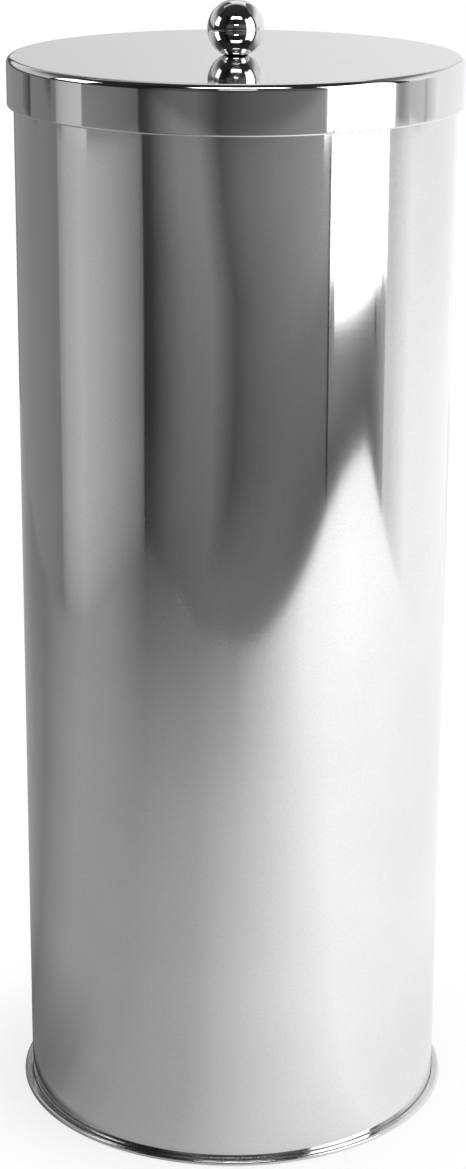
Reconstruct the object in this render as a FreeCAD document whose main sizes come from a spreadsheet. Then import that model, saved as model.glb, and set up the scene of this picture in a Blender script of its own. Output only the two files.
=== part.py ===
"""A tall round canister for spare toilet rolls, with a lift-off lid and a ball knob.

The wall is a rolled steel tube, the base is folded on round its foot, and the lid is a pressed cap
whose knob is held by a screw from below. Millimetres, +Z up, the origin under the middle of the foot.
"""
import FreeCAD, Part
import enum
import math
import os

import Sketcher
from FreeCAD import Vector

# Driving dimensions
SIZES = (
    ("wall_diameter", 140, "outside of the canister's wall"),
    ("wall_sheet", 0.5, "thickness of the wall"),
    ("mouth_height", 351.2, "top of the mouth above the floor"),
    ("mouth_curl", 3, "outside diameter of the curl round the mouth"),
    ("foot_bend", 0.4, "inside radius of the bend from the wall to its flange"),
    ("side_seam_width", 6, "width of the lock seam's ridge inside the wall"),
    ("side_seam_depth", 1.5, "how far that ridge stands into the canister"),
    ("side_seam_round", 0.7, "radius along the ridge's two edges"),
    ("side_seam_end", 2, "from the ridge's ends to the curl and to the foot's bend"),
    ("side_line_width", 0.4, "width of the line that the seam leaves outside"),
    ("side_line_depth", 0.3, "depth of that line"),
    ("base_sheet", 0.5, "thickness of the base"),
    ("base_rise", 3, "height of the base's raised middle above the floor"),
    ("base_bend", 1, "inside radius of the two bends round that middle"),
    ("foot_ring", 4, "width of the flat ring inside the wall that stands on the floor"),
    ("seam_reach", 2.7, "how far the folded seam at the foot stands out of the wall"),
    ("seam_gap", 0.1, "clearance between the layers of that seam"),
    ("fold_setback", 0.15, "clearance from the fold's edge to the wall's bend"),
    ("lid_sheet", 0.5, "thickness of the lid"),
    ("lid_depth", 15.2, "height of the lid, from its top to the hem"),
    ("lid_corner", 2, "outside radius round the lid's top"),
    ("lid_play", 0.8, "clearance between the hem and the wall"),
    ("lid_rest", 0.3, "clearance between the mouth and the lid's underside"),
    ("hem_gap", 0.3, "clearance between the two layers of the hem"),
    ("hem_height", 4.5, "height of the hem's inner layer"),
    ("knob_diameter", 18, "diameter of the ball"),
    ("knob_seat", 7.5, "diameter of the flat that the ball stands on"),
    ("screw_diameter", 4, "outside of the screw's thread"),
    ("screw_length", 10, "length of the screw under its head"),
    ("screw_point", 0.6, "chamfer at the screw's end"),
    ("thread_play", 0.05, "clearance round the screw in the ball"),
    ("bore_spare", 1.5, "depth of the ball's bore past the screw's end"),
    ("drill_angle", 118, "angle of the cone that ends the bore, in degrees"),
    ("lid_hole_play", 0.2, "clearance round the screw in the lid"),
    ("head_diameter", 8, "diameter of the screw's head"),
    ("head_height", 3.1, "height of the screw's head"),
    ("head_side", 1.1, "height of the head's straight side"),
    ("recess_span", 4.4, "length of each arm across the head's cross recess"),
    ("recess_width", 1.1, "width of each arm"),
    ("recess_depth", 1.9, "depth of the recess below the head's crown"),
    ("spring_washer_diameter", 7.6, "outside of the spring washer"),
    ("spring_washer_height", 0.9, "height of the spring washer, pressed flat"),
    ("spring_washer_play", 0.1, "clearance round the screw in it"),
    ("spring_washer_split", 0.8, "width of the cut through it"),
    ("flat_washer_diameter", 9, "outside of the flat washer"),
    ("flat_washer_height", 0.8, "thickness of the flat washer"),
    ("flat_washer_play", 0.15, "clearance round the screw in it"),
)

doc = FreeCAD.newDocument("toilet_roll_canister")
sheet = doc.addObject("Spreadsheet::Sheet", "Sizes")
for row, (alias, number, meaning) in enumerate(SIZES, start=1):
    sheet.set(f"A{row}", str(number))
    sheet.setAlias(f"A{row}", alias)
    sheet.set(f"B{row}", meaning)
doc.recompute()

# Places that two pieces share, as expressions on the sizes
WALL_OUT = "Sizes.wall_diameter / 2"
WALL_IN = f"({WALL_OUT} - Sizes.wall_sheet)"
FLANGE_UNDER = "(Sizes.base_sheet + Sizes.seam_gap)"
FLANGE_TOP = f"({FLANGE_UNDER} + Sizes.wall_sheet)"
SEAM_HEIGHT = f"({FLANGE_TOP} + Sizes.seam_gap + Sizes.base_sheet)"
FOLD_AXIS = f"({WALL_OUT} + Sizes.seam_reach - {SEAM_HEIGHT} / 2)"
LID_UNDER = "(Sizes.mouth_height + Sizes.lid_rest)"
LID_TOP = f"({LID_UNDER} + Sizes.lid_sheet)"
FLAT_WASHER_UNDER = f"({LID_UNDER} - Sizes.flat_washer_height)"
SPRING_WASHER_UNDER = f"({FLAT_WASHER_UNDER} - Sizes.spring_washer_height)"
SCREW_RADIUS = "Sizes.screw_diameter / 2"

LEFT, RIGHT = "left", "right"


class Axis(enum.IntEnum):
    """How a sketch numbers its own axes. The origin is the start of the level one."""

    LEVEL = -1
    UPRIGHT = -2


class Vertex(enum.IntEnum):
    """How a sketch numbers the points of a line or an arc."""

    START = 1
    END = 2
    CENTRE = 3


def size(expression):
    """The value of an expression on the sizes."""
    return float(sheet.evalExpression(expression))


def place(across, up):
    """A point of a sketch, from two expressions."""
    return Vector(size(across), size(up), 0)


def minus(expression):
    """The same distance, on the other side of an axis."""
    return f"-({expression})"


def line(across, up):
    """A straight step of an outline, to a point given by two expressions."""
    return {"to": (across, up)}


def bend(across, up, about, turn):
    """A round step of an outline, to a point, turning left or right about a centre."""
    return {"to": (across, up), "about": about, "turn": turn}


def arc_between(first, last, centre):
    """The arc that turns left from the first point to the last."""
    from_centre = first - centre
    to_centre = last - centre
    begin = math.atan2(from_centre.y, from_centre.x)
    finish = math.atan2(to_centre.y, to_centre.x)
    if finish <= begin:
        finish += 2 * math.pi
    circle = Part.Circle(centre, Vector(0, 0, 1), from_centre.Length)
    return Part.ArcOfCircle(circle, begin, finish)


def hold(sketch, geometry, vertex, across=None, up=None):
    """Holds a vertex of a sketch at the distance from each axis that an expression gives."""
    for kind, axis, expression in (("DistanceX", Axis.UPRIGHT, across), ("DistanceY", Axis.LEVEL, up)):
        if expression == "0":
            sketch.addConstraint(Sketcher.Constraint("PointOnObject", geometry, vertex, axis))
        elif expression is not None:
            distance = size(expression)
            index = sketch.addConstraint(
                Sketcher.Constraint(kind, Axis.LEVEL, Vertex.START, geometry, vertex, distance)
            )
            sketch.setExpression(f"Constraints[{index}]", expression)


def outline(sketch, steps):
    """Draws a closed outline whose last step ends where the first begins, and holds it by the sizes."""
    drawn = []
    for before, step in zip(steps[-1:] + steps[:-1], steps):
        first = place(*before["to"])
        last = place(*step["to"])
        if "about" not in step:
            drawn.append((sketch.addGeometry(Part.LineSegment(first, last)), Vertex.START, Vertex.END))
        elif step["turn"] == LEFT:
            arc = arc_between(first, last, place(*step["about"]))
            drawn.append((sketch.addGeometry(arc), Vertex.START, Vertex.END))
        else:
            arc = arc_between(last, first, place(*step["about"]))
            drawn.append((sketch.addGeometry(arc), Vertex.END, Vertex.START))
    for (geometry, _, end), (following, begin, _) in zip(drawn, drawn[1:] + drawn[:1]):
        sketch.addConstraint(Sketcher.Constraint("Coincident", geometry, end, following, begin))
    for before, step, (geometry, _, end) in zip(steps[-1:] + steps[:-1], steps, drawn):
        hold(sketch, geometry, end, *step["to"])
        if "about" in step:
            chord = place(*step["to"]) - place(*before["to"])
            if abs(chord.x) < abs(chord.y):
                hold(sketch, geometry, Vertex.CENTRE, across=step["about"][0])
            else:
                hold(sketch, geometry, Vertex.CENTRE, up=step["about"][1])


def sketch_on(body, role, name, height="0"):
    """An empty sketch on one of a body's own planes, raised by an expression."""
    sketch = body.newObject("Sketcher::SketchObject", name)
    plane = next(item for item in body.Origin.OriginFeatures if item.Role == role)
    sketch.AttachmentSupport = (plane, [""])
    sketch.MapMode = "FlatFace"
    if height != "0":
        sketch.setExpression("AttachmentOffset.Base.z", height)
    return sketch


def turned(name, steps, height="0"):
    """A body turned about the upright axis from a half section, standing at a height."""
    body = doc.addObject("PartDesign::Body", name)
    body.Label = name
    section = sketch_on(body, "XZ_Plane", f"{name}_section")
    outline(section, steps)
    turn = body.newObject("PartDesign::Revolution", f"{name}_turn")
    turn.Profile = section
    turn.ReferenceAxis = (section, ["V_Axis"])
    turn.Angle = 360
    if height != "0":
        body.setExpression("Placement.Base.z", height)
    doc.recompute()
    return body


def upright(body, kind, name, steps, height, length):
    """A Pad, or a Pocket cut upwards, of an outline drawn level at a height in a body."""
    sketch = sketch_on(body, "XY_Plane", f"{name}_outline", height)
    outline(sketch, steps)
    volume = body.Shape.Volume
    feature = body.newObject(f"PartDesign::{kind}", name)
    feature.Profile = sketch
    feature.Reversed = kind == "Pocket"
    feature.setExpression("Length", length)
    doc.recompute()
    added = body.Shape.Volume - volume
    if (added if kind == "Pad" else -added) <= 0:
        raise RuntimeError(f"{name} changes nothing")
    return feature


def canister_wall():
    """The rolled wall: flange and bend at the foot, plain tube, and an inward curl at the mouth."""
    flange_bend = (f"({WALL_OUT} + Sizes.foot_bend)", f"({FLANGE_TOP} + Sizes.foot_bend)")
    curl_radius = "Sizes.mouth_curl / 2"
    curl = (f"({WALL_OUT} - {curl_radius})", f"(Sizes.mouth_height - {curl_radius})")
    curl_end = "(Sizes.mouth_height - Sizes.mouth_curl)"
    body = turned("canister_wall", [
        line(FOLD_AXIS, FLANGE_TOP),
        line(flange_bend[0], FLANGE_TOP),
        bend(WALL_OUT, flange_bend[1], flange_bend, RIGHT),
        line(WALL_OUT, curl[1]),
        bend(curl[0], curl_end, curl, LEFT),
        line(curl[0], f"{curl_end} + Sizes.wall_sheet"),
        bend(WALL_IN, curl[1], curl, RIGHT),
        line(WALL_IN, flange_bend[1]),
        bend(flange_bend[0], FLANGE_UNDER, flange_bend, LEFT),
        line(FOLD_AXIS, FLANGE_UNDER),
    ])
    add_side_seam(body, f"({flange_bend[1]} + Sizes.side_seam_end)", f"({curl_end} - Sizes.side_seam_end)")
    return body


def add_side_seam(wall, low, high):
    """The upright lock seam at the back: a pressed ridge inside and a fine line outside."""
    length = f"{high} - {low}"
    half = "Sizes.side_seam_width / 2"
    crest = f"({WALL_IN} - Sizes.side_seam_depth)"
    root = f"({WALL_OUT} - Sizes.wall_sheet / 2)"
    shoulder = f"({crest} + Sizes.side_seam_round)"
    flat = f"({half} - Sizes.side_seam_round)"
    upright(wall, "Pad", "side_seam_ridge", [
        line(half, root),
        line(minus(half), root),
        line(minus(half), shoulder),
        bend(minus(flat), crest, (minus(flat), shoulder), LEFT),
        line(flat, crest),
        bend(half, shoulder, (flat, shoulder), LEFT),
    ], low, length)
    line_half = "Sizes.side_line_width / 2"
    line_floor = f"({WALL_OUT} - Sizes.side_line_depth)"
    outside = f"({WALL_OUT} + Sizes.side_line_depth)"
    upright(wall, "Pocket", "side_seam_line", [
        line(line_half, outside),
        line(minus(line_half), outside),
        line(minus(line_half), line_floor),
        line(line_half, line_floor),
    ], low, length)


def base_pan():
    """The pressed base: raised middle, foot ring, and a rim folded over the wall's flange."""
    step_in = f"({WALL_IN} - Sizes.foot_ring - Sizes.base_sheet - Sizes.base_bend)"
    step_out = f"({step_in} + Sizes.base_sheet)"
    rise_top = "(Sizes.base_rise + Sizes.base_sheet)"
    upper = (f"({step_in} - Sizes.base_bend)", "(Sizes.base_rise - Sizes.base_bend)")
    lower = (f"({step_out} + Sizes.base_bend)", "(Sizes.base_sheet + Sizes.base_bend)")
    fold = (FOLD_AXIS, f"({SEAM_HEIGHT} / 2)")
    fold_edge = f"({WALL_OUT} + Sizes.foot_bend + Sizes.fold_setback)"
    fold_under = f"({SEAM_HEIGHT} - Sizes.base_sheet)"
    return turned("base_pan", [
        line("0", "Sizes.base_rise"),
        line(upper[0], "Sizes.base_rise"),
        bend(step_in, upper[1], upper, RIGHT),
        line(step_in, lower[1]),
        bend(lower[0], "0", lower, LEFT),
        line(FOLD_AXIS, "0"),
        bend(FOLD_AXIS, SEAM_HEIGHT, fold, LEFT),
        line(fold_edge, SEAM_HEIGHT),
        line(fold_edge, fold_under),
        line(FOLD_AXIS, fold_under),
        bend(FOLD_AXIS, "Sizes.base_sheet", fold, RIGHT),
        line(lower[0], "Sizes.base_sheet"),
        bend(step_out, lower[1], lower, RIGHT),
        line(step_out, upper[1]),
        bend(upper[0], rise_top, upper, LEFT),
        line("0", rise_top),
    ])


def lid_cap():
    """The pressed lid: flat top with the screw's hole, rounded edge, skirt, and an inward hem."""
    hem_radius = "(Sizes.lid_sheet + Sizes.hem_gap / 2)"
    hem_face = f"({WALL_OUT} + Sizes.lid_play)"
    hem = (f"({hem_face} + {hem_radius})", hem_radius)
    outside = f"({hem_face} + 2 * {hem_radius})"
    inside = f"({outside} - Sizes.lid_sheet)"
    under = "(Sizes.lid_depth - Sizes.lid_sheet)"
    corner = (f"({outside} - Sizes.lid_corner)", "(Sizes.lid_depth - Sizes.lid_corner)")
    hole = f"({SCREW_RADIUS} + Sizes.lid_hole_play)"
    return turned("lid_cap", [
        line(hole, "Sizes.lid_depth"),
        line(corner[0], "Sizes.lid_depth"),
        bend(outside, corner[1], corner, RIGHT),
        line(outside, hem_radius),
        bend(hem_face, hem_radius, hem, RIGHT),
        line(hem_face, "Sizes.hem_height"),
        line(f"({hem_face} + Sizes.lid_sheet)", "Sizes.hem_height"),
        line(f"({hem_face} + Sizes.lid_sheet)", hem_radius),
        bend(inside, hem_radius, hem, LEFT),
        line(inside, corner[1]),
        bend(corner[0], under, corner, LEFT),
        line(hole, under),
    ], f"{LID_TOP} - Sizes.lid_depth")


def knob_ball():
    """The ball, with its flat seat and the blind bore that takes the screw."""
    radius = "Sizes.knob_diameter / 2"
    seat = "Sizes.knob_seat / 2"
    middle = f"sqrt(({radius}) ^ 2 - ({seat}) ^ 2)"
    bore = f"({SCREW_RADIUS} + Sizes.thread_play)"
    grip = f"(Sizes.screw_length + {SPRING_WASHER_UNDER} - {LID_TOP})"
    bore_depth = f"({grip} + Sizes.bore_spare)"
    return turned("knob_ball", [
        line(bore, "0"),
        line(seat, "0"),
        bend("0", f"({middle} + {radius})", ("0", middle), LEFT),
        line("0", f"({bore_depth} + {bore} / tan(Sizes.drill_angle / 2))"),
        line(bore, bore_depth),
    ], LID_TOP)


def knob_screw():
    """The pan head screw, point up, with a cross recess in its head."""
    head = "Sizes.head_diameter / 2"
    crown_rise = "(Sizes.head_height - Sizes.head_side)"
    crown_radius = f"((({head}) ^ 2 + {crown_rise} ^ 2) / (2 * {crown_rise}))"
    tip = "(Sizes.head_height + Sizes.screw_length)"
    body = turned("knob_screw", [
        bend(head, crown_rise, ("0", crown_radius), LEFT),
        line(head, "Sizes.head_height"),
        line(SCREW_RADIUS, "Sizes.head_height"),
        line(SCREW_RADIUS, f"({tip} - Sizes.screw_point)"),
        line(f"({SCREW_RADIUS} - Sizes.screw_point)", tip),
        line("0", tip),
        line("0", "0"),
    ], f"{SPRING_WASHER_UNDER} - Sizes.head_height")
    arm = "Sizes.recess_span / 2"
    side = "Sizes.recess_width / 2"
    recess = upright(body, "Pocket", "cross_recess_arm", [
        line(arm, side),
        line(minus(arm), side),
        line(minus(arm), minus(side)),
        line(arm, minus(side)),
    ], "0", "Sizes.recess_depth")
    cross = body.newObject("PartDesign::PolarPattern", "cross_recess")
    cross.Originals = [recess]
    cross.Axis = (recess.Profile[0], ["N_Axis"])
    cross.Angle = 90
    cross.Occurrences = 2
    body.Tip = cross
    return body


def ring(name, diameter, play, thickness, height):
    """A flat ring round the screw, standing at a height."""
    hole = f"({SCREW_RADIUS} + {play})"
    return turned(name, [
        line(hole, "0"),
        line(f"{diameter} / 2", "0"),
        line(f"{diameter} / 2", thickness),
        line(hole, thickness),
    ], height)


def spring_washer():
    """The split ring under the screw's head, pressed flat."""
    body = ring(
        "spring_washer",
        "Sizes.spring_washer_diameter",
        "Sizes.spring_washer_play",
        "Sizes.spring_washer_height",
        SPRING_WASHER_UNDER,
    )
    split = "Sizes.spring_washer_split / 2"
    upright(body, "Pocket", "spring_washer_cut", [
        line("Sizes.spring_washer_diameter", split),
        line("0", split),
        line("0", minus(split)),
        line("Sizes.spring_washer_diameter", minus(split)),
    ], "0", "Sizes.spring_washer_height")
    return body


def flat_washer():
    """The plain ring between the spring washer and the lid."""
    return ring(
        "flat_washer",
        "Sizes.flat_washer_diameter",
        "Sizes.flat_washer_play",
        "Sizes.flat_washer_height",
        FLAT_WASHER_UNDER,
    )


pieces = [
    canister_wall(),
    base_pan(),
    lid_cap(),
    knob_ball(),
    knob_screw(),
    spring_washer(),
    flat_washer(),
]
doc.recompute()
for item in doc.Objects:
    if {"Invalid", "Error"} & set(item.State):
        raise RuntimeError(f"{item.Label} could not be made: {item.State}")
for piece in pieces:
    if piece.Shape.isNull() or not piece.Shape.isValid() or len(piece.Shape.Solids) != 1:
        raise RuntimeError(f"{piece.Label} is not one sound solid")
os.makedirs("parts", exist_ok=True)
for piece in pieces:
    piece.Shape.exportStep(f"parts/{piece.Label}.step")
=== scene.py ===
import math

import bpy
from mathutils import Matrix, Vector


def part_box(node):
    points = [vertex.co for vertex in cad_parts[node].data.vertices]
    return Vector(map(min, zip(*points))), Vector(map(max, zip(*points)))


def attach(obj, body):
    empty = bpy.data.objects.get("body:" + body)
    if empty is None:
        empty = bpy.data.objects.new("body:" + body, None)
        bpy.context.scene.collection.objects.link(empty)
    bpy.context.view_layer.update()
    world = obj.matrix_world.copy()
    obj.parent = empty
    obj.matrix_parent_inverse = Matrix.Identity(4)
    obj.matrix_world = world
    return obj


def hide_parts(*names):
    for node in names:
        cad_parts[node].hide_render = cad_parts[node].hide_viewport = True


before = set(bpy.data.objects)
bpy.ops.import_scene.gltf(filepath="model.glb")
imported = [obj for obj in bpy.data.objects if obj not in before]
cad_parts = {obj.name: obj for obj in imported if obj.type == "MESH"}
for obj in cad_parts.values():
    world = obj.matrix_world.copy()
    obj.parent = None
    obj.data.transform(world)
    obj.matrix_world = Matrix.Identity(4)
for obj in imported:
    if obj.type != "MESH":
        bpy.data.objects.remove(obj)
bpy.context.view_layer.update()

# The wall of the canister: bright steel sheet with a fine rolled grain, bent to a tube and locked along one
# upright seam at the back. Its top edge is curled inwards, so that the mouth has no raw edge, and its foot is
# turned out to a narrow flange that the base grips.
MM = 0.001
SHEET = 0.5 * MM
SUPPORT = 0.12 * MM
COLUMNS = 256


class Outline:
    """A half section in radius and height, in straight and round stretches, with the metal on its left."""

    def __init__(self, radius, height):
        self.points = [(radius, height)]

    def line(self, radius, height):
        """Straight on to a point, with a support point near each end so that long faces stay flat."""
        start = Vector(self.points[-1])
        end = Vector((radius, height))
        if (end - start).length > 4 * SUPPORT:
            step = (end - start).normalized() * SUPPORT
            self.points += [tuple(start + step), tuple(end - step)]
        self.points.append(tuple(end))
        return self

    def arc(self, centre_radius, centre_height, degrees, parts):
        """Round a centre through an angle, positive to the left, in equal parts."""
        centre = Vector((centre_radius, centre_height))
        arm = Vector(self.points[-1]) - centre
        for part in range(1, parts + 1):
            turn = Matrix.Rotation(math.radians(degrees) * part / parts, 2)
            self.points.append(tuple(centre + turn @ arm))
        return self


def smooth(mesh, crease=32):
    """Shades a mesh smooth, apart from the edges that are sharper than the crease, in degrees."""
    mesh.shade_smooth()
    mesh.set_sharp_from_angle(angle=math.radians(crease))


def turned(name, outline, angles=None, relief=None):
    """A round piece turned about the upright axis, closed on itself or on the axis.

    A relief shifts the points of chosen columns: it gets a point of the outline and an angle.
    """
    on_axis = 1e-7
    angles = angles or [2 * math.pi * column / COLUMNS for column in range(COLUMNS)]
    points = outline.points
    closed = (Vector(points[0]) - Vector(points[-1])).length < on_axis
    if closed:
        points = points[:-1]
    verts, rings = [], []
    for radius, height in points:
        if radius < on_axis:
            rings.append([len(verts)] * len(angles))
            verts.append((0, 0, height))
            continue
        rings.append(list(range(len(verts), len(verts) + len(angles))))
        for angle in angles:
            reach = radius + relief(radius, height, angle) if relief else radius
            verts.append((reach * math.cos(angle), reach * math.sin(angle), height))
    pairs = list(zip(rings, rings[1:])) + ([(rings[-1], rings[0])] if closed else [])
    faces = []
    for low, high in pairs:
        for column in range(len(angles)):
            after = (column + 1) % len(angles)
            corners = [low[column], low[after], high[after], high[column]]
            faces.append(list(dict.fromkeys(corners)))
    mesh = bpy.data.meshes.new(name)
    mesh.from_pydata(verts, [], faces)
    mesh.validate()
    smooth(mesh)
    piece = bpy.data.objects.new(name, mesh)
    bpy.context.scene.collection.objects.link(piece)
    return piece


class Wire:
    """An output of a node. Arithmetic on wires adds Math nodes to their tree."""

    def __init__(self, socket):
        self.socket = socket

    @staticmethod
    def node(tree, kind, settings=None, sockets=None, output=0):
        """Adds a node, with its settings first and then the values or wires of its sockets."""
        made = tree.nodes.new("ShaderNode" + kind)
        for name, setting in (settings or {}).items():
            if name == "stops":
                ramp = made.color_ramp.elements
                while len(ramp) < len(setting):
                    ramp.new(1)
                for element, (place, grey) in zip(ramp, setting):
                    element.position = place
                    element.color = (grey, grey, grey, 1)
            else:
                setattr(made, name, setting)
        for name, value in (sockets or {}).items():
            if isinstance(value, Wire):
                tree.links.new(value.socket, made.inputs[name])
            else:
                made.inputs[name].default_value = value
        return Wire(made.outputs[output])

    def math(self, operation, *values):
        """Adds a Math node, from values or wires."""
        return Wire.node(self.socket.id_data, "Math", {"operation": operation}, dict(enumerate(values)))

    def __add__(self, other):
        return self.math("ADD", self, other)

    def __radd__(self, other):
        return self.math("ADD", other, self)

    def __sub__(self, other):
        return self.math("SUBTRACT", self, other)

    def __rsub__(self, other):
        return self.math("SUBTRACT", other, self)

    def __mul__(self, other):
        return self.math("MULTIPLY", self, other)

    def __rmul__(self, other):
        return self.math("MULTIPLY", other, self)

    def __truediv__(self, other):
        return self.math("DIVIDE", self, other)

    def __pow__(self, other):
        return self.math("POWER", self, other)


def place_on(tree):
    """Where a point lies on its own piece, in metres."""
    return Wire.node(tree, "TexCoord", output="Object")


def stretched(tree, place, across, along, up):
    """A place scaled apart on each axis, for grain that runs one way."""
    return Wire.node(tree, "VectorMath", {"operation": "MULTIPLY"}, {0: place, 1: (across, along, up)})


def cloud(tree, place, scale, detail=3):
    """Soft noise from 0 to 1, with about one lump in each scale-th of a metre."""
    return Wire.node(tree, "TexNoise", {}, {"Vector": place, "Scale": scale, "Detail": detail})


def between(low, high, share):
    """A value from low to high, as a share runs from 0 to 1."""
    return low + share * (high - low)


def grey_mix(tree, share, first, second):
    """A colour from the first to the second, as a share runs from 0 to 1."""
    return Wire.node(
        tree,
        "Mix",
        {"data_type": "RGBA"},
        {"Factor": share, 6: (*first, 1), 7: (*second, 1)},
        output=2,
    )


def metal(name, constants, varied):
    """A metal finish from its constant sockets and a function that wires up what varies."""
    material = bpy.data.materials.new(name)
    material.use_nodes = True
    tree = material.node_tree
    surface = tree.nodes["Principled BSDF"]
    surface.inputs["Metallic"].default_value = 1
    for socket, value in constants.items():
        surface.inputs[socket].default_value = value
    for socket, wire in varied(tree).items():
        tree.links.new(wire.socket, surface.inputs[socket])
    return material


def bumped(tree, height):
    """The normal of a surface raised by a height in metres."""
    return Wire.node(tree, "Bump", {}, {"Strength": 1, "Distance": 1, "Height": height})


def wall_finish(tree):
    """Rolled sheet: fine grain round the tube, cloudy tone, and the slight waves of thin metal."""
    place = place_on(tree)
    grain = cloud(tree, stretched(tree, place, 90, 90, 5200), 1, 4)
    speckle = cloud(tree, place, 3400, 2)
    clouds = cloud(tree, place, 26, 4)
    waves = cloud(tree, stretched(tree, place, 9, 9, 5), 1, 1)
    tone = 0.4 * clouds + 0.1 * grain + 0.9 * speckle - 0.2
    return {
        "Base Color": grey_mix(tree, tone, (0.66, 0.66, 0.665), (0.94, 0.94, 0.94)),
        "Roughness": between(0.042, 0.085, 0.5 * clouds + 0.5 * grain),
        "Normal": bumped(tree, 0.04 * MM * waves + 0.0005 * MM * grain + 0.001 * MM * speckle),
    }


flange_low, flange_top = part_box("canister_wall")
wall_foot = flange_low.z
wall_top = flange_top.z
flange_edge = flange_top.x
wall_radius = 70 * MM
wall_inside = wall_radius - SHEET
foot_bend = 0.4 * MM
curl_radius = 1.5 * MM
seam_low = wall_foot + 2.9 * MM
seam_high = wall_top - 5 * MM
seam_half = 3 * MM
seam_height = 1.5 * MM
seam_squareness = 5
line_half = 0.2 * MM
line_depth = 0.3 * MM


def seam_relief(radius, height, angle):
    """The lock seam at the back: a ridge of folded layers inside and a fine line outside."""
    if not seam_low < height < seam_high:
        return 0
    from_seam = abs(angle - math.pi / 2) * wall_radius
    if abs(radius - wall_inside) < SUPPORT and from_seam < seam_half:
        return -seam_height * (1 - (from_seam / seam_half) ** seam_squareness) ** (1 / seam_squareness)
    if abs(radius - wall_radius) < SUPPORT and from_seam < 2 * line_half:
        return -line_depth * (0.5 + 0.5 * math.cos(math.pi * from_seam / (2 * line_half)))
    return 0


def seam_columns():
    """Even columns round the wall, with close ones across the seam."""
    line_shares = (0, 0.015, 0.03, 0.05, 0.07, 0.09, 0.11, 0.14)
    ridge_shares = (0.3, 0.5, 0.7, 0.8, 0.88, 0.94, 0.98, 0.997, 1, 1.06)
    close = [seam_half * share / wall_radius for share in line_shares + ridge_shares]
    even = [2 * math.pi * column / COLUMNS for column in range(COLUMNS)]
    seam_room = 1.3 * seam_half / wall_radius
    clear = [angle for angle in even if abs(angle - math.pi / 2) > seam_room]
    before = [math.pi / 2 - angle for angle in close[1:]]
    after = [math.pi / 2 + angle for angle in close]
    return sorted(clear + before + after)


bend_radius, bend_height = wall_radius + foot_bend, wall_foot + SHEET + foot_bend
curl_centre, curl_height = wall_radius - curl_radius, wall_top - curl_radius
seam_end = 0.3 * MM
wall_section = (
    Outline(flange_edge, wall_foot)
    .line(flange_edge, wall_foot + SHEET)
    .line(bend_radius, wall_foot + SHEET)
    .arc(bend_radius, bend_height, -90, 6)
    .line(wall_radius, seam_low)
    .line(wall_radius, seam_low + seam_end)
    .line(wall_radius, seam_high - seam_end)
    .line(wall_radius, seam_high)
    .line(wall_radius, curl_height)
    .arc(curl_centre, curl_height, 270, 30)
    .line(curl_centre, wall_top - 2 * curl_radius + SHEET)
    .arc(curl_centre, curl_height, -270, 30)
    .line(wall_inside, seam_high)
    .line(wall_inside, seam_high - seam_end)
    .line(wall_inside, seam_low + seam_end)
    .line(wall_inside, seam_low)
    .line(wall_inside, bend_height)
    .arc(bend_radius, bend_height, 90, 8)
    .line(flange_edge, wall_foot)
)
wall = turned("wall", wall_section, seam_columns(), seam_relief)
wall.data.materials.append(
    metal("rolled_steel", {"Anisotropic": 0.7, "Anisotropic Rotation": 0.25}, wall_finish)
)
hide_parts("canister_wall")
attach(wall, "canister")

# The base: a disc pressed from the same steel, with a raised middle that the rolls stand on and a flat ring
# that stands on the floor. Its rim is folded up and over the wall's flange, which makes the bright bead that
# shows round the foot.


def base_finish(tree):
    """Pressed sheet: straight rolling grain across the disc, and dull scuffs all over."""
    place = place_on(tree)
    grain = cloud(tree, stretched(tree, place, 40, 4200, 40), 1, 3)
    clouds = cloud(tree, place, 34, 4)
    scuffs = cloud(tree, place, 420, 3)
    return {
        "Base Color": grey_mix(tree, 0.5 * clouds + 0.5 * grain, (0.68, 0.68, 0.685), (0.82, 0.82, 0.82)),
        "Roughness": between(0.06, 0.2, 0.4 * clouds + 0.3 * grain + 0.3 * scuffs),
        "Normal": bumped(tree, 0.0006 * MM * grain + 0.01 * MM * clouds),
    }


base_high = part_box("base_pan")[1]
rise_top = base_high.z
rise_under = rise_top - SHEET
rise_bend = 1 * MM
step_inside = 64 * MM
step_outside = step_inside + SHEET
fold_height = 1.7 * MM
fold_radius = fold_height / 2
fold_centre = base_high.x - fold_radius
fold_edge = wall_radius + foot_bend + 0.15 * MM
ring_start = step_outside + rise_bend
upper_bend = (step_inside - rise_bend, rise_under - rise_bend)
lower_bend = (ring_start, SHEET + rise_bend)
base_section = (
    Outline(0, rise_under)
    .line(upper_bend[0], rise_under)
    .arc(*upper_bend, -90, 8)
    .line(step_inside, lower_bend[1])
    .arc(*lower_bend, 90, 8)
    .line(fold_centre, 0)
    .arc(fold_centre, fold_radius, 180, 20)
    .line(fold_edge, fold_height)
    .line(fold_edge, fold_height - SHEET)
    .line(fold_centre, fold_height - SHEET)
    .arc(fold_centre, fold_radius, -180, 14)
    .line(ring_start, SHEET)
    .arc(*lower_bend, -90, 8)
    .line(step_outside, upper_bend[1])
    .arc(*upper_bend, 90, 8)
    .line(0, rise_top)
)
base = turned("base", base_section)
base.data.materials.append(metal("pressed_steel", {"Anisotropic": 0.3}, base_finish))
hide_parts("base_pan")
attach(base, "canister")

# The lid: a shallow cap drawn from polished steel, mirror bright on top, with a rounded edge and a short
# skirt that slips over the mouth. The raw edge of the skirt is hemmed inwards, and a hole in the middle
# takes the knob's screw.


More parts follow.
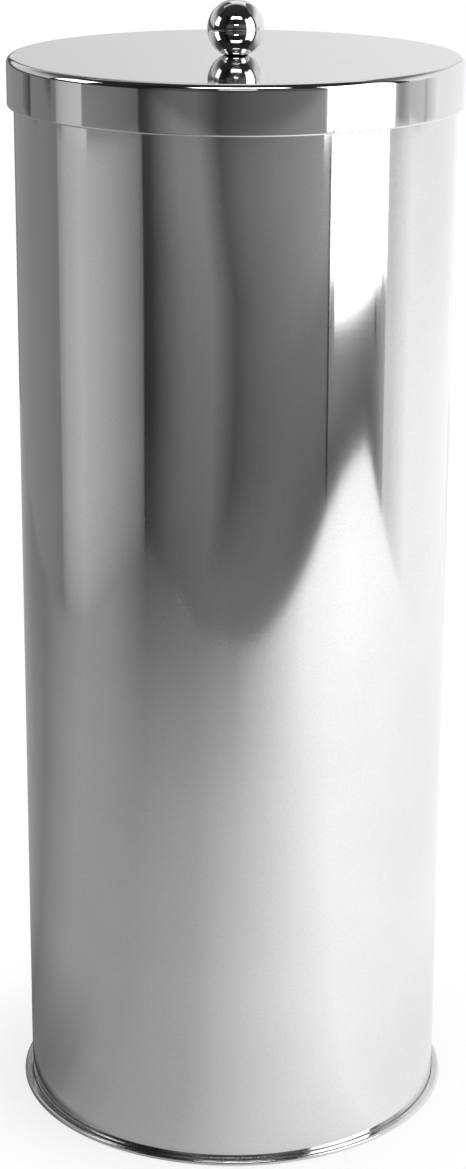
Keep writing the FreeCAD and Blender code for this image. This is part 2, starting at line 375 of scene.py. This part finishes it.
def lid_finish(tree):
    """Polished sheet: fine polishing lines round the skirt, faint wiping marks, and very slight waves."""
    place = place_on(tree)
    lines = cloud(tree, stretched(tree, place, 60, 60, 4600), 1, 3)
    wipes = cloud(tree, place, 46, 5)
    waves = cloud(tree, place, 16, 1)
    ripples = cloud(tree, place, 90, 2)
    return {
        "Base Color": grey_mix(tree, 0.7 * wipes + 0.3 * lines, (0.74, 0.74, 0.745), (0.82, 0.82, 0.82)),
        "Roughness": between(0.02, 0.09, 0.6 * wipes + 0.4 * lines),
        "Normal": bumped(tree, 0.012 * MM * waves + 0.004 * MM * ripples),
    }


lid_low, lid_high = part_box("lid_cap")
skirt_outside = lid_high.x
skirt_inside = skirt_outside - SHEET
lid_top, lid_foot = lid_high.z, lid_low.z
lid_under = lid_top - SHEET
lid_corner = 2 * MM
corner = (skirt_outside - lid_corner, lid_top - lid_corner)
hem_radius = 0.65 * MM
hem = (skirt_outside - hem_radius, lid_foot + hem_radius)
hem_face = skirt_outside - 2 * hem_radius
hem_top = lid_foot + 4.5 * MM
screw_hole = 2.2 * MM
lid_section = (
    Outline(screw_hole, lid_under)
    .line(corner[0], lid_under)
    .arc(*corner, -90, 10)
    .line(skirt_inside, hem[1])
    .arc(*hem, -180, 10)
    .line(hem_face + SHEET, hem_top)
    .line(hem_face, hem_top)
    .line(hem_face, hem[1])
    .arc(*hem, 180, 18)
    .line(skirt_outside, corner[1])
    .arc(*corner, 90, 16)
    .line(screw_hole, lid_top)
    .line(screw_hole, lid_under)
)
lid = turned("lid", lid_section)
lid.data.materials.append(metal("polished_steel", {"Anisotropic": 0.3}, lid_finish))
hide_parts("lid_cap")
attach(lid, "lid")

# The knob's fixing, out of sight under the lid: a zinc plated pan head screw, point up, with a spring washer
# and a flat washer between its head and the sheet.


def zinc_finish(tree):
    """Bright zinc: a cool grey, blotched by the bath, with fine pits."""
    place = place_on(tree)
    blotches = cloud(tree, place, 700, 4)
    pits = cloud(tree, place, 6000, 2)
    return {
        "Base Color": grey_mix(tree, blotches, (0.56, 0.58, 0.6), (0.72, 0.73, 0.74)),
        "Roughness": between(0.22, 0.42, 0.6 * blotches + 0.4 * pits),
        "Normal": bumped(tree, 0.001 * MM * pits),
    }


zinc = metal("zinc", {}, zinc_finish)
FASTENER_COLUMNS = 96
fastener_angles = [2 * math.pi * column / FASTENER_COLUMNS for column in range(FASTENER_COLUMNS)]


def fastener(piece, node):
    """Dresses a zinc plated piece in place of its node."""
    piece.data.materials.append(zinc)
    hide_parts(node)
    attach(piece, "lid")


def washer_section(node, hole, edge):
    """The section of a punched ring, with its outer edges rounded over."""
    low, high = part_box(node)
    rim = high.x - edge
    return (
        Outline(hole, low.z)
        .line(rim, low.z)
        .arc(rim, low.z + edge, 90, 4)
        .line(high.x, high.z - edge)
        .arc(rim, high.z - edge, 90, 4)
        .line(hole, high.z)
        .line(hole, low.z)
    )


flat_section = washer_section("flat_washer", hole=2.15 * MM, edge=0.12 * MM)
fastener(turned("flat_washer_ring", flat_section, fastener_angles), "flat_washer")


def split_ring(name, outline, gap, slant):
    """A ring with a slanting split towards +X. Gap and slant are angles."""
    section = outline.points[:-1]
    heights = [height for _, height in section]
    middle = (min(heights) + max(heights)) / 2
    rise = max(heights) - min(heights)
    count = len(section)
    verts = []
    for column in range(FASTENER_COLUMNS + 1):
        along = gap / 2 + (2 * math.pi - gap) * column / FASTENER_COLUMNS
        for radius, height in section:
            angle = along + slant * (height - middle) / rise
            verts.append((radius * math.cos(angle), radius * math.sin(angle), height))
    faces = [list(range(count)), list(reversed(range(len(verts) - count, len(verts))))]
    for column in range(FASTENER_COLUMNS):
        here, there = column * count, (column + 1) * count
        for corner in range(count):
            after = (corner + 1) % count
            faces.append([here + corner, there + corner, there + after, here + after])
    mesh = bpy.data.meshes.new(name)
    mesh.from_pydata(verts, [], faces)
    smooth(mesh)
    piece = bpy.data.objects.new(name, mesh)
    bpy.context.scene.collection.objects.link(piece)
    return piece


split_gap, split_slant = math.radians(13), math.radians(14)
spring_section = washer_section("spring_washer", hole=2.1 * MM, edge=0.1 * MM)
fastener(split_ring("spring_washer_ring", spring_section, split_gap, split_slant), "spring_washer")

screw_low, screw_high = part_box("knob_screw")
shank = 2 * MM
head_radius = screw_high.x
head_side = 1.1 * MM
bearing_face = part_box("spring_washer")[0].z
crown_rise = bearing_face - head_side - screw_low.z
crown_radius = (head_radius**2 + crown_rise**2) / (2 * crown_rise)
crown_angle = math.degrees(math.asin(head_radius / crown_radius))
crown_edge = 0.2 * MM
point = 0.6 * MM
thread_pitch = 0.7 * MM
thread_depth = 0.42 * MM
thread_start = bearing_face + 0.4 * MM
thread_end = screw_high.z - point
rows_per_turn = 12
crest_share = 0.12
flank_share = 0.7


def thread_relief(radius, height, angle):
    """The groove of a right-hand thread, which runs out under the head and at the point."""
    if abs(radius - shank) > SUPPORT or not thread_start < height < thread_end:
        return 0
    phase = (height / thread_pitch - angle / (2 * math.pi)) % 1
    flank = min(max((abs(2 * phase - 1) - crest_share) / flank_share, 0), 1)
    run_out = min((height - thread_start) / thread_pitch, (thread_end - height) / thread_pitch, 1)
    return -thread_depth * flank * run_out


screw_section = (
    Outline(0, screw_low.z)
    .arc(0, screw_low.z + crown_radius, crown_angle, 20)
    .line(head_radius, bearing_face - crown_edge)
    .arc(head_radius - crown_edge, bearing_face - crown_edge, 90, 4)
    .line(shank, bearing_face)
    .line(shank, thread_start)
)
thread_rows = round(rows_per_turn * (thread_end - thread_start) / thread_pitch)
for row in range(1, thread_rows + 1):
    screw_section.line(shank, thread_start + (thread_end - thread_start) * row / thread_rows)
screw_section.line(shank - point, screw_high.z).line(0, screw_high.z)
screw = turned("screw", screw_section, fastener_angles, thread_relief)

recess_span, recess_width, recess_depth = 4.4 * MM, 1.1 * MM, 1.9 * MM
recess_taper = 0.55
recess_flare = 1.3


def cross_cutter(name):
    """A tapered cross that cuts the recess: its arms get shorter and thinner towards its end."""
    arm, side = recess_span / 2, recess_width / 2
    quarter = [(arm, -side), (arm, side), (side, side)]
    plan = []
    for turn in range(4):
        rotation = Matrix.Rotation(turn * math.pi / 2, 2)
        plan += [rotation @ Vector(corner) for corner in quarter]
    levels = [(screw_low.z - recess_depth, recess_flare), (screw_low.z + recess_depth, recess_taper)]
    verts = [(share * corner.x, share * corner.y, height) for height, share in levels for corner in plan]
    count = len(plan)
    faces = [list(reversed(range(count))), list(range(count, 2 * count))]
    for corner in range(count):
        after = (corner + 1) % count
        faces.append([corner, after, count + after, count + corner])
    mesh = bpy.data.meshes.new(name)
    mesh.from_pydata(verts, [], faces)
    cutter = bpy.data.objects.new(name, mesh)
    bpy.context.scene.collection.objects.link(cutter)
    return cutter


cutter = cross_cutter("cross_cutter")
cut = screw.modifiers.new("recess", "BOOLEAN")
cut.object = cutter
cut.solver = "EXACT"
bpy.context.view_layer.update()
screw.data = bpy.data.meshes.new_from_object(screw.evaluated_get(bpy.context.evaluated_depsgraph_get()))
screw.modifiers.clear()
bpy.data.objects.remove(cutter)
smooth(screw.data)
fastener(screw, "knob_screw")

# The knob: a turned steel ball, chromed to a mirror. A small flat under it stands on the lid, and a blind
# hole there is tapped for the screw.


def ball_finish(tree):
    """Chrome: a hard mirror with finger marks that only dull it a little."""
    place = place_on(tree)
    marks = cloud(tree, place, 160, 4)
    film = cloud(tree, place, 60, 2)
    return {
        "Base Color": grey_mix(tree, film, (0.78, 0.78, 0.785), (0.84, 0.84, 0.845)),
        "Roughness": between(0.01, 0.05, marks * film),
        "Normal": bumped(tree, 0.0005 * MM * marks),
    }


ball_low, ball_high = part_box("knob_ball")
ball_radius = ball_high.x
ball_centre = ball_high.z - ball_radius
seat = math.sqrt(ball_radius**2 - (ball_centre - ball_low.z) ** 2)
bore = 2.05 * MM
bore_end = ball_low.z + 9.3 * MM
drill_half_angle = math.radians(59)
seat_angle = math.degrees(math.acos(seat / ball_radius))
ball_section = (
    Outline(0, bore_end + bore / math.tan(drill_half_angle))
    .line(bore, bore_end)
    .line(bore, ball_low.z)
    .line(seat, ball_low.z)
    .arc(0, ball_centre, 90 + seat_angle, 72)
)
ball = turned("ball", ball_section)
ball.data.materials.append(metal("chrome", {}, ball_finish))
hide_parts("knob_ball")
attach(ball, "lid")

# The stage: a plain white floor that keeps the contact shadow and runs out to a white world. A softbox
# stands to the right, and the metal alone sees the cards round the set, which give it its dark bands.
FLOOR_REACH = 6
FLOOR_SIDES = 64
SHADOW_REACH = (0.072, 0.12)
SHADOW_LIGHT = 0.65
WHITE = (1, 1, 1, 1)


def emptied(material):
    """A material's tree with nothing but its output."""
    material.use_nodes = True
    tree = material.node_tree
    tree.nodes.remove(tree.nodes["Principled BSDF"])
    return tree, tree.nodes["Material Output"].inputs["Surface"]


def axis_of(tree, place, axis):
    """One axis of a place, as a value."""
    return Wire.node(tree, "SeparateXYZ", {}, {0: place}, output=axis)


def rising(tree, value, start, end):
    """A smooth rise from 0 to 1, as a value runs from start to end."""
    limits = {"Value": value, "From Min": start, "From Max": end}
    return Wire.node(tree, "MapRange", {"interpolation_type": "SMOOTHSTEP"}, limits)


def floor_finish():
    """White paint that shows the shadow near the object and is plain white further out."""
    material = bpy.data.materials.new("floor_white")
    tree, surface = emptied(material)
    place = place_on(tree)
    out = (axis_of(tree, place, "X") ** 2 + axis_of(tree, place, "Y") ** 2) ** 0.5
    fade = between(SHADOW_LIGHT, 1, rising(tree, out, *SHADOW_REACH))
    rays = ("Camera", "Glossy", "Transmission")
    seen = [Wire.node(tree, "LightPath", output=f"Is {ray} Ray") for ray in rays]
    shown = seen[0].math("MAXIMUM", seen[0].math("MAXIMUM", seen[0], seen[1]), seen[2])
    paint = Wire.node(tree, "BsdfDiffuse", {}, {"Color": (0.92, 0.92, 0.92, 1)})
    glow = Wire.node(tree, "Emission", {}, {"Color": WHITE, "Strength": 1})
    mixed = Wire.node(tree, "MixShader", {}, {0: fade * shown, 1: paint, 2: glow})
    tree.links.new(mixed.socket, surface)
    return material


def staged(name, mesh, material):
    """A piece of the stage."""
    mesh.materials.append(material)
    piece = bpy.data.objects.new(name, mesh)
    bpy.context.scene.collection.objects.link(piece)
    return piece


def flat_stage(name, corners, material):
    """A flat piece of the stage, from its corners."""
    mesh = bpy.data.meshes.new(name)
    mesh.from_pydata(corners, [], [tuple(range(len(corners)))])
    return staged(name, mesh, material)


turns = [2 * math.pi * side / FLOOR_SIDES for side in range(FLOOR_SIDES)]
floor_plan = [(FLOOR_REACH * math.cos(turn), FLOOR_REACH * math.sin(turn), 0) for turn in turns]
flat_stage("floor", floor_plan, floor_finish())


def for_metal_only(piece):
    """Keeps a card out of the picture and out of the light, so that it only shows in the metal."""
    piece.visible_camera = False
    piece.visible_diffuse = False
    piece.visible_shadow = False
    piece.visible_transmission = False


def set_grey():
    """Plain light of the grey that each corner of a screen or card holds."""
    material = bpy.data.materials.new("set_grey")
    tree, surface = emptied(material)
    grey = Wire.node(tree, "Attribute", {"attribute_name": "grey"}, output="Fac")
    tree.links.new(Wire.node(tree, "Emission", {}, {"Color": WHITE, "Strength": grey}).socket, surface)
    return material


card_material = set_grey()


def card(name, verts, faces, greys):
    """A card of the set, with a grey at each corner."""
    mesh = bpy.data.meshes.new(name)
    mesh.from_pydata(verts, [], faces)
    mesh.attributes.new("grey", "FLOAT", "POINT").data.foreach_set("value", greys)
    piece = staged(name, mesh, card_material)
    for_metal_only(piece)


def screen(name, points, levels, drop=0, foot_greys=()):
    """An upright card along points of the floor plan, each with a grey.

    A level has a height, a share of those greys, how far the card's middle sways to the right there, and how
    much the share changes from the first point to the last. The last two may be left out. A level with no
    share has the foot greys instead. The card gets lower from its first point to its last by a share, which
    is the drop.
    """
    verts, greys = [], []
    for level in levels:
        height, strength, sway, lean = (*level, 0, 0)[:4]
        for index, (x, y, grey) in enumerate(points):
            along = index / (len(points) - 1)
            shift = sway * (1 - (x / SET_REACH) ** 2) if sway else 0
            verts.append((x + shift, y, height * (1 - drop * along)))
            greys.append(grey * (strength + lean * along) if strength else foot_greys[index])
    width = len(points)
    starts = [row * width + column for row in range(len(levels) - 1) for column in range(width - 1)]
    card(name, verts, [(start, start + 1, start + width + 1, start + width) for start in starts], greys)


def even(top, foot=0):
    """The levels of a screen with the same greys all the way up."""
    return [(foot, 1), (top, 1)]


SET_REACH = 0.6
CEILING = 1.2
corner_left, corner_right = (-0.545, -0.524), (0.61, -0.553)

# In front, two dark curtains meet in a fold left of the middle and share one head.
fold = (-0.05, -0.592, 0.105)
HEAD_SWAY = -0.04
head_shares = [
    (0.288, 0.1), (0.312, 0.1), (0.315, 1), (0.342, 1), (0.346, 0.1), (0.4, 0.1), (0.44, 0.45), (0.56, 0.45),
    (0.62, 0.1), (CEILING, 0.05),
]
curtain_head = [(height, share, HEAD_SWAY) for height, share in head_shares]
screen(
    "curtain_left",
    [(*corner_left, 0.04), (-0.5, -0.56, 0.055), (-0.4, -0.577, 0.15), (-0.29, -0.585, 0.235),
     (-0.16, -0.59, 0.25), fold],
    [(0, 0), (0.03, 0, 0.016), (0.085, 0.7, 0.044), (0.13, 0.78, 0.057), (0.178, 0.88, 0.053),
     (0.225, 1.05, -0.012), (0.256, 1.05, -0.037), (0.263, 0.62, HEAD_SWAY), (0.284, 0.68, HEAD_SWAY),
     *curtain_head],
    foot_greys=(0.045, 0.06, 0.11, 0.135, 0.16, 0.17),
)
screen(
    "curtain_right",
    [fold, (0.07, -0.59, 0.19), (0.225, -0.588, 0.26), (0.35, -0.581, 0.31), (0.585, -0.557, 0.4),
     (0.59, -0.556, 0.01), (*corner_right, 0.01)],
    [(0, 0), (0.03, 0, 0.016), (0.085, 0.78, 0.044, -0.56), (0.13, 0.78, 0.057, -0.41),
     (0.178, 0.8, 0.053, 0.2), (0.225, 0.94, -0.012), (0.256, 0.88, -0.037), (0.263, 0.55, HEAD_SWAY),
     (0.284, 0.57, HEAD_SWAY), *curtain_head],
    foot_greys=(0.165, 0.165, 0.155, 0.125, 0.1, 0.01, 0.01),
)

# On the left stands a grey board, with a window and its frame above and behind it.
board_start = (-0.59, 0.09)
board_bend = (-0.59, -0.33)
screen(
    "grey_board",
    [(*board_start, 0.3), (-0.59, 0.03, 0.43), (-0.59, -0.08, 0.52), (-0.59, -0.22, 0.43),
     (*board_bend, 0.36), (-0.551, -0.48, 0.235), (*corner_left, 0.16)],
    [(0, 0.62), (0.012, 0.8), (0.035, 0.91), (0.07, 1), (0.2565, 1)],
    drop=0.078,
)
window_start, window_end = (-0.63, 0.055), (-0.63, -0.14)
screen(
    "left_frame",
    [(*board_start, 0.2), (*window_start, 0.2)],
    [(0, 1), (0.28, 1), (0.34, 0.1), (CEILING, 0.1)],
)
screen("left_window", [(*window_start, 0.36), (-0.63, 0.01, 0.5), (*window_end, 0.62)], even(0.3))
screen(
    "left_dark",
    [(*window_end, 0.26), (-0.63, -0.35, 0.2), (-0.58, -0.57, 0.13)],
    [(0, 1), (0.26, 1), (0.34, 0.1), (CEILING, 0.1)],
)
screen("high_window", [(-0.62, 0.12, 2.4), (-0.62, -0.17, 2.4)], even(0.78, 0.45))
screen("window_head", [(*window_start, 0.02), (*window_end, 0.02)], even(CEILING, 0.3))

# Behind on the left, a dim side runs back from the board, with a pole in front of it.
dim_plan = [(-0.58, 0.25), (-0.52, 0.6), (-0.4, 0.9), (-0.25, 0.96)]
dim_greys = (0.23, 0.27, 0.3, 0.18)
screen(
    "dim_side",
    [(*board_start, 0.2), *((*spot, grey) for spot, grey in zip(dim_plan, dim_greys))],
    [(0, 1), (0.26, 1), (0.28, 0.3), (0.34, 0.3), (0.37, 2.5), (0.5, 2.5), (0.7, 0.4), (CEILING, 0.15)],
    drop=-0.6,
)
screen(
    "left_pole",
    [(-0.54, 0.4, 0.2), (-0.553, 0.34, 0.13), (-0.559, 0.31, 0.07), (-0.562, 0.29, 0.07)],
    even(0.3, 0.251),
)
dim_end = (0, 1)
screen("dim_back", [(*dim_plan[-1], 0.18), (*dim_end, 0.2)], even(0.42))

# On the right, the stand closes the set under the softbox, and a light board with a rail runs back from it.
LAMP_FOOT, LAMP_TOP = 0.122, 0.95
STAND_TOP = LAMP_FOOT + 0.02
board_foot = (0.79, -0.12)
stand_plan = [
    corner_right, (0.74, -0.5), (0.83, -0.43), (0.9, -0.34), (0.9, -0.28), (0.885, -0.25), (0.85, -0.2),
]
stand_greys = (0.1, 0.1, 0.1, 0.1, 0.11, 0.14, 0.18)
screen(
    "lamp_stand",
    [*((*spot, grey) for spot, grey in zip(stand_plan, stand_greys)), (*board_foot, 0.4)],
    [(0, 1), (0.035, 1), (0.06, 1.9, 0, -0.9), (0.09, 2.4, 0, -1.4), (STAND_TOP, 2.6, 0, -1.6)],
)
screen("lamp_pole", [(0.866, -0.243, 0.003), (0.864, -0.222, 0.003)], even(STAND_TOP, 0.085))
right_plan = [
    board_foot, (0.745, -0.063), (0.69, 0.007), (0.62, 0.087), (0.52, 0.2), (0.4, 0.5), (0.35, 0.95),
]
right_greys = (0.64, 0.66, 0.8, 0.98, 0.98, 1, 1)
screen(
    "right_board",
    [(*spot, grey) for spot, grey in zip(right_plan, right_greys)],
    [(0, 1.1), (0.1, 1.08), (0.24, 0.99), (0.62, 0.98), (0.85, 0.2), (CEILING, 0.1)],
)
rail_joint = (0.674, 0.01, 0.56)
screen(
    "right_rail",
    [(0.775, -0.118, 0.6), (0.74, -0.074, 0.3), (0.712, -0.039, 0.34), rail_joint],
    even(0.36, 0.236),
    drop=-0.045,
)
screen(
    "rail_end",
    [rail_joint, (0.584, 0.113, 0.64), (0.571, 0.127, 0.46), (0.558, 0.142, 0.64), (0.52, 0.186, 0.84),
     (0.5, 0.22, 1.04)],
    even(0.376, 0.2525),
    drop=-0.057,
)
screen("right_gap", [(0.78, -0.12, 0.02), (0.685, 0, 0.02)], even(CEILING, 0.36))
screen("lamp_front", [(0.525, -0.556, 2), (0.6, -0.547, 2)], even(LAMP_TOP, 0.23))

# Behind, a light backdrop. The ceiling is dark, and gets lighter towards the back.
screen(
    "backdrop",
    [(-1, 1.02, 0.62), (-0.15, 1.02, 0.7), (0.15, 1.02, 0.86), (1, 1.02, 0.92)],
    even(0.52, 0.43),
)
screen(
    "back_left",
    [(-1, 1.03, 0.12), (0, 1.03, 0.12)],
    [(0.5, 0.7), (0.62, 0.7), (0.68, 4), (CEILING, 6)],
)
screen("back_right", [(0, 1.03, 0.75), (1, 1.03, 0.85)], even(CEILING, 0.5))
ceiling_sides = (-1, 1)
ceiling_rows = [(-0.65, 0.02), (0.3, 0.035), (0.55, 0.8)]
card(
    "ceiling",
    [(x, back, CEILING) for back, _ in ceiling_rows for x in ceiling_sides],
    [(0, 1, 3, 2), (2, 3, 5, 4)],
    [grey for _, grey in ceiling_rows for _ in ceiling_sides],
)

# Two small lights over the curtains, which show as bright marks on the ball and on the lid's edge.
SMALL_LIGHT = 4
HIGH_LIGHT = 9
screen(
    "high_light",
    [(-0.3, -0.57, 0.01), (-0.21, -0.57, HIGH_LIGHT), (0.27, -0.57, HIGH_LIGHT), (0.35, -0.57, 0.01)],
    even(1.09, 0.9),
)
screen("far_light", [(-0.08, -0.57, SMALL_LIGHT), (0.1, -0.57, SMALL_LIGHT)], even(0.572, 0.53))


def turn_grey(tree, share, greys):
    """A grey that runs round the canister: each stop is an angle from the front, in degrees, and its grey.

    The ramp gives a colour, and the product with 1 makes a value of it.
    """
    stops = [(angle / 360 + 0.5, grey) for angle, grey in greys]
    return Wire.node(tree, "ValToRGB", {"stops": stops}, {0: share}) * 1


EDGE_REACH = (0.15, 0.75)
FOOT_REACH = (0.075, 0.2)
BEAD_REACH = (0.0735, 0.078)


def graded_table():
    """The table as the metal sees it, with painted light from the right, painted shade on the left and a
    painted contact shadow close to the foot.
    """
    material = bpy.data.materials.new("graded_table")
    tree, surface = emptied(material)
    place = place_on(tree)
    x, y = axis_of(tree, place, "X"), axis_of(tree, place, "Y")
    out = (x**2 + y**2) ** 0.5
    share = x.math("ARCTAN2", x, 0 - y) / (2 * math.pi) + 0.5
    # Painted light and shade on the table: its grey runs round from the shaded left to the lit right, near
    # and far, with a painted shadow on the left.
    far = turn_grey(tree, share, [
        (-180, 0.5), (-135, 0.21), (-118, 0.19), (-84, 0.34), (-68, 0.32), (-45, 0.12), (0, 0.18),
        (15, 0.52), (36, 1.1), (60, 1.22), (155, 1.05), (180, 0.5),
    ])
    near = turn_grey(tree, share, [
        (-180, 0.5), (-135, 0.3), (-118, 0.23), (-88, 0.36), (-50, 0.355), (-18, 0.44), (15, 0.75),
        (48, 1.11), (160, 1), (180, 0.5),
    ])
    shadow = turn_grey(tree, share, [
        (-180, 0.15), (-110, 0.35), (-86, 0.5), (-72, 0.38), (-60, 0.1), (-46, 0), (10, 0), (60, 0.12),
        (180, 0.15),
    ])
    # A painted contact shadow round the foot, where the bead and the lowest part of the wall see the table.
    painted_contact_shadow = turn_grey(tree, share, [(-180, 0.3), (-100, 0.85), (-58, 0.7), (-38, 0.1), (60, 0), (180, 0.3)])
    at_edge = rising(tree, out, *EDGE_REACH) ** 1.5
    at_foot = 1 - rising(tree, out, *FOOT_REACH)
    at_bead = 1 - rising(tree, out, *BEAD_REACH)
    shade = (near + at_edge * (far - near)) * (1 - at_foot * shadow) * (1 - at_bead * painted_contact_shadow)
    tree.links.new(Wire.node(tree, "Emission", {}, {"Color": WHITE, "Strength": shade}).socket, surface)
    return material


TABLE_LIFT = 0.2 * MM
table_plan = [
    corner_left, (-0.5, -0.56), (-0.4, -0.577), (-0.16, -0.59), (0.225, -0.588), (0.35, -0.581),
    *stand_plan, *right_plan, *reversed(dim_plan), board_start, board_bend,
]
table = flat_stage("graded_table", [(x, y, TABLE_LIFT) for x, y in table_plan], graded_table())
for_metal_only(table)

LAMP_RADIANCE = 2
LAMP_TILT = math.radians(3)
lamp_left, lamp_right = Vector((0.59, -0.66)), Vector((0.87, -0.07))
lamp_run = lamp_right - lamp_left
softbox = bpy.data.lights.new("softbox", "AREA")
softbox.shape = "RECTANGLE"
softbox.size = lamp_run.length
softbox.size_y = LAMP_TOP - LAMP_FOOT
softbox.energy = LAMP_RADIANCE * math.pi * softbox.size * softbox.size_y
softbox_piece = bpy.data.objects.new("softbox", softbox)
softbox_piece.matrix_world = (
    Matrix.Translation((*((lamp_left + lamp_right) / 2), (LAMP_FOOT + LAMP_TOP) / 2))
    @ Matrix.Rotation(math.atan2(lamp_run.y, lamp_run.x), 4, "Z")
    @ Matrix.Rotation(math.pi / 2, 4, "X")
    @ Matrix.Rotation(LAMP_TILT, 4, "Z")
)
softbox_piece.visible_camera = False
bpy.context.scene.collection.objects.link(softbox_piece)

world = bpy.data.worlds.new("white_world")
world.use_nodes = True
world.node_tree.nodes["Background"].inputs["Color"].default_value = WHITE
world.node_tree.nodes["Background"].inputs["Strength"].default_value = 1
bpy.context.scene.world = world
bpy.context.scene.view_settings.view_transform = "Standard"

# The camera stands in front, a little above the lid, and looks down on the canister. Its place, pitch, roll
# and lens are fitted to the outlines of the wall, the lid and the foot.
CAMERA_PLACE = (-0.0003, -0.875, 0.457)
CAMERA_PITCH = math.radians(17.73)
CAMERA_ROLL = math.radians(0.215)
CAMERA_LENS = 84.84
SENSOR_WIDTH = 36
camera = bpy.data.objects.new("camera", bpy.data.cameras.new("camera"))
camera.data.lens = CAMERA_LENS
camera.data.sensor_width = SENSOR_WIDTH
camera.matrix_world = (
    Matrix.Translation(CAMERA_PLACE)
    @ Matrix.Rotation(math.pi / 2 - CAMERA_PITCH, 4, "X")
    @ Matrix.Rotation(CAMERA_ROLL, 4, "Z")
)
bpy.context.scene.collection.objects.link(camera)
bpy.context.scene.camera = camera
